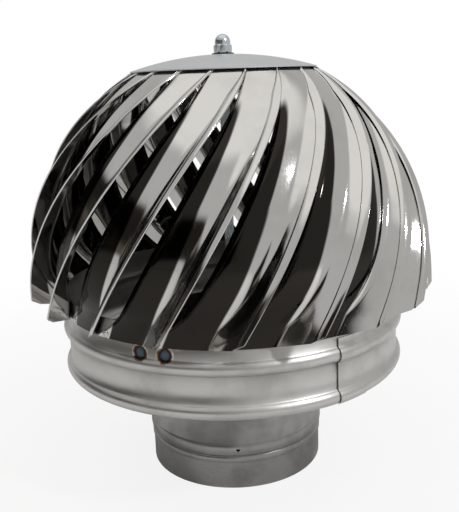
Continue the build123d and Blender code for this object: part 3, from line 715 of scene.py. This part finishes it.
def hex_nut_with_dome():
    """Domed nut: hexagon whose corners are turned down to a cone, then the dome."""
    flat = NUT_FLATS / 2
    corner = flat / cos(radians(30))
    chamfer = (corner - flat) * NUT_CHAMFER
    levels = [(NUT_Z, 0), (NUT_Z + NUT_FOOT, NUT_FOOT_FULL), (NUT_Z + chamfer + NUT_FOOT, 1),
              (NUT_Z + NUT_HEX - chamfer, 1), (NUT_Z + NUT_HEX, 0)]
    points, rows = [], []
    for z, full in levels:
        turned = flat * NUT_INSCRIBED + (corner - flat) * full
        rows.append([(min(flat / cos(radians((360 * i / NUT_SIDES + 30) % 60 - 30)), turned), z)
                     for i in range(NUT_SIDES)])
    centre = NUT_TOP - NUT_DOME
    rows.append([(NUT_DOME, NUT_Z + NUT_HEX + NUT_DOME_LIFT)] * NUT_SIDES)
    rows += [[(NUT_DOME * cos(radians(a)), centre + NUT_DOME * sin(radians(a)))] * NUT_SIDES
             for a in range(0, 90, NUT_DOME_STEP)]
    for row in rows:
        points += [place(r, 360 * i / NUT_SIDES, z) for i, (r, z) in enumerate(row)]
    points.append(place(0, 0, NUT_TOP))
    faces = [tuple(range(NUT_SIDES))[::-1]]
    for level in range(len(rows) - 1):
        faces += quads_up(level * NUT_SIDES, (level + 1) * NUT_SIDES, NUT_SIDES)
    last = (len(rows) - 1) * NUT_SIDES
    faces += [(last + i, last + (i + 1) % NUT_SIDES, len(points) - 1) for i in range(NUT_SIDES)]
    return mesh_piece("domed_nut", points, faces, "rotor", zinc, sharp=24)


nut = hex_nut_with_dome()
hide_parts("acorn_nut")


def cut_box(piece, centre, size, azimuth):
    """Cuts a square hole through a piece and keeps its shading."""
    bpy.ops.mesh.primitive_cube_add(size=1)
    cutter = bpy.context.active_object
    cutter.scale = [length * MM for length in size]
    cutter.location = centre
    cutter.rotation_euler = (0, 0, radians(azimuth))
    boolean = piece.modifiers.new("hole", "BOOLEAN")
    boolean.object, boolean.solver = cutter, "EXACT"
    bpy.context.view_layer.update()
    shown = piece.evaluated_get(bpy.context.evaluated_depsgraph_get())
    mesh = bpy.data.meshes.new_from_object(shown)
    piece.modifiers.clear()
    piece.data = mesh
    bpy.data.objects.remove(cutter)


neck_outside = [(NECK_RADIUS, 0), (NECK_RADIUS, NECK_STEP_Z - STEP_LEAD)]
neck_outside += [(NECK_RADIUS + NECK_STEP * eased(i / NECK_STEP_POINTS),
                  NECK_STEP_Z + NECK_STEP * i / NECK_STEP_POINTS)
                 for i in range(NECK_STEP_POINTS + 1)]
neck_outside += [(NECK_RADIUS + NECK_STEP, STOP_BEAD[0] - STEP_LEAD)]
neck_outside += bead(*STOP_BEAD, NECK_RADIUS, STOP_BEAD_RISE) + [(NECK_RADIUS, NECK_TOP)]
neck = spun_piece("smooth_neck", wall(neck_outside, NECK_SHEET), "base", shaded_neck_steel, sharp=60)
hole_wide, hole_high = FIXING_HOLE_SIZE
cut_box(neck, place(NECK_RADIUS, *FIXING_HOLE), (hole_wide, CUT_LENGTH, hole_high), FIXING_HOLE[0])
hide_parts("neck_spigot")
shade_radius = NECK_RADIUS - NECK_SHEET - FIXING_SHADE_DEPTH
hole_shade = domes("fixing_hole_shade", [(shade_radius, *FIXING_HOLE)],
                   [(FIXING_SHADE_RADIUS, 0), (FIXING_SHADE_RADIUS, DISC_LIFT)], "base", hole_dark)

cap_radii = [SHAFT_HOLE, CAP_FLAT]
cap_radii += [CAP_FLAT + (CAP_RADIUS - CAP_FLAT) * i / CAP_RINGS for i in range(1, CAP_RINGS + 1)]
cap_face = [(r, dome_height(r)) for r in cap_radii]
cap = spun_piece("smooth_cap", cap_face + [(r, z - CAP_SHEET) for r, z in reversed(cap_face)],
                 "rotor", cap_steel, sharp=60)
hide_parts("cap")

PLAIN_NODES = (
    (satin, ("crown_ring", "drip_collar", "skirt_strap", "bearing_cross", "cap_backing_disc")),
    (rivet_steel, ("collar_rivets", "cross_rivets")),
    (ground, ("bearing_housing", "bearing_circlip", "lower_bearing_outer_race",
              "upper_bearing_outer_race", "lower_bearing_inner_race", "upper_bearing_inner_race")),
    (zinc, ("housing_bolts", "housing_nuts", "shaft", "shaft_lock_nut", "lower_spacer",
            "upper_spacer", "strap_lower_nut", "strap_upper_nut", "cap_nut")),
    (rubber, ("rubber_washer",)),
)
for material, names in PLAIN_NODES:
    for name in names:
        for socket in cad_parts[name].material_slots:
            socket.material = material


# ---- studio ----

def make_world():
    """Pale studio with a dim side to the left of the photographer; the camera sees it white."""
    world = bpy.data.worlds.new("studio")
    world.use_nodes = True
    bpy.context.scene.world = world
    tree = world.node_tree
    direction = node(tree, "ShaderNodeTexCoord")
    split = node(tree, "ShaderNodeSeparateXYZ")
    tree.links.new(direction.outputs["Generated"], split.inputs["Vector"])
    height = split.outputs["Z"]
    front = math_node(tree, "MULTIPLY", split.outputs["Y"], -1.0)
    azimuth = math_node(tree, "DEGREES", math_node(tree, "ARCTAN2", split.outputs["X"], front))
    dim = math_node(tree, "MULTIPLY",
                    ramp(tree, azimuth, DIM_FROM - DIM_SOFT, DIM_FROM + DIM_SOFT, 0.0, 1.0),
                    ramp(tree, azimuth, DIM_TO - DIM_SOFT, DIM_TO + DIM_SOFT, 1.0, 0.0))
    band = math_node(tree, "MULTIPLY", ramp(tree, height, 0.0, DIM_RISE, 0.0, 1.0),
                     ramp(tree, height, DIM_TOP - DIM_TOP_SOFT, DIM_TOP + DIM_TOP_SOFT, 1.0, 0.0))
    shapes = node(tree, "ShaderNodeTexNoise", Scale=DIM_SHAPES, Detail=2.0)
    tree.links.new(direction.outputs["Generated"], shapes.inputs["Vector"])
    pale = mixed(tree, ramp(tree, height, *CEILING_RANGE, 0.0, 1.0), WALL_COLOUR, CEILING_COLOUR)
    room = mixed(tree, ramp(tree, shapes.outputs["Fac"], *DIM_SHAPES_RANGE, 0.0, 1.0), *DIM_COLOURS)
    shade = mixed(tree, math_node(tree, "MULTIPLY", dim, band), pale, room)
    rays = node(tree, "ShaderNodeLightPath")
    seen = mixed(tree, rays.outputs["Is Camera Ray"], shade, WHITE)
    tree.links.new(seen, tree.nodes["Background"].inputs["Color"])


def make_floor():
    """Pale floor that catches the object's shadow and is white to the camera further out."""
    bpy.ops.mesh.primitive_circle_add(vertices=96, radius=FLOOR_RADIUS, fill_type="NGON",
                                      location=(0, 0, -FLOOR_DROP))
    floor = bpy.context.active_object
    floor.name = "studio_floor"
    material, tree, shader = new_material("floor_white")
    shader.inputs["Base Color"].default_value = (FLOOR_GREY, FLOOR_GREY, FLOOR_GREY, 1)
    shader.inputs["Roughness"].default_value = FLOOR_ROUGH
    shader.inputs["Specular IOR Level"].default_value = FLOOR_GLOSS
    white = node(tree, "ShaderNodeEmission")
    white.inputs["Color"].default_value = (*WHITE, 1)
    rays = node(tree, "ShaderNodeLightPath")
    spot = node(tree, "ShaderNodeTexCoord")
    reach = node(tree, "ShaderNodeVectorMath", operation="LENGTH")
    tree.links.new(spot.outputs["Object"], reach.inputs[0])
    part = math_node(tree, "MULTIPLY", rays.outputs["Is Camera Ray"],
                     ramp(tree, reach.outputs["Value"], *SHADOW_REACH, SHADOW_WHITE, 1.0))
    mix = node(tree, "ShaderNodeMixShader")
    tree.links.new(part, mix.inputs["Fac"])
    tree.links.new(shader.outputs["BSDF"], mix.inputs[1])
    tree.links.new(white.outputs["Emission"], mix.inputs[2])
    tree.links.new(mix.outputs["Shader"], tree.nodes["Material Output"].inputs["Surface"])
    floor.data.materials.append(material)


def area_lamp(name, at, towards, size, power):
    lamp = bpy.data.lights.new(name, "AREA")
    lamp.shape = "RECTANGLE"
    lamp.size, lamp.size_y = size
    lamp.energy = power
    holder = bpy.data.objects.new(name, lamp)
    bpy.context.scene.collection.objects.link(holder)
    holder.location = at
    holder.rotation_euler = (Vector(towards) - Vector(at)).to_track_quat("-Z", "Y").to_euler()


def make_camera():
    camera = bpy.data.objects.new("camera", bpy.data.cameras.new("camera"))
    bpy.context.scene.collection.objects.link(camera)
    camera.data.sensor_fit = "VERTICAL"
    camera.data.sensor_height = SENSOR_HIGH
    camera.data.lens = LENS_PIXELS * SENSOR_HIGH / PHOTO_HIGH
    camera.data.clip_start = 0.01
    ahead = Vector((sin(CAMERA_TURN) * cos(CAMERA_DOWN), cos(CAMERA_TURN) * cos(CAMERA_DOWN),
                    -sin(CAMERA_DOWN)))
    level = ahead.cross(Vector((0, 0, 1))).normalized()
    up = level.cross(ahead)
    right = level * cos(CAMERA_ROLL) + up * sin(CAMERA_ROLL)
    top = right.cross(ahead)
    turn = Matrix((right, top, -ahead)).transposed().to_4x4()
    camera.matrix_world = Matrix.Translation(CAMERA_AT) @ turn
    bpy.context.scene.camera = camera


make_world()
make_floor()
area_lamp("key_right", KEY_AT, KEY_TOWARDS, KEY_SIZE, KEY_POWER)
make_camera()
bpy.context.scene.view_settings.view_transform = "Standard"
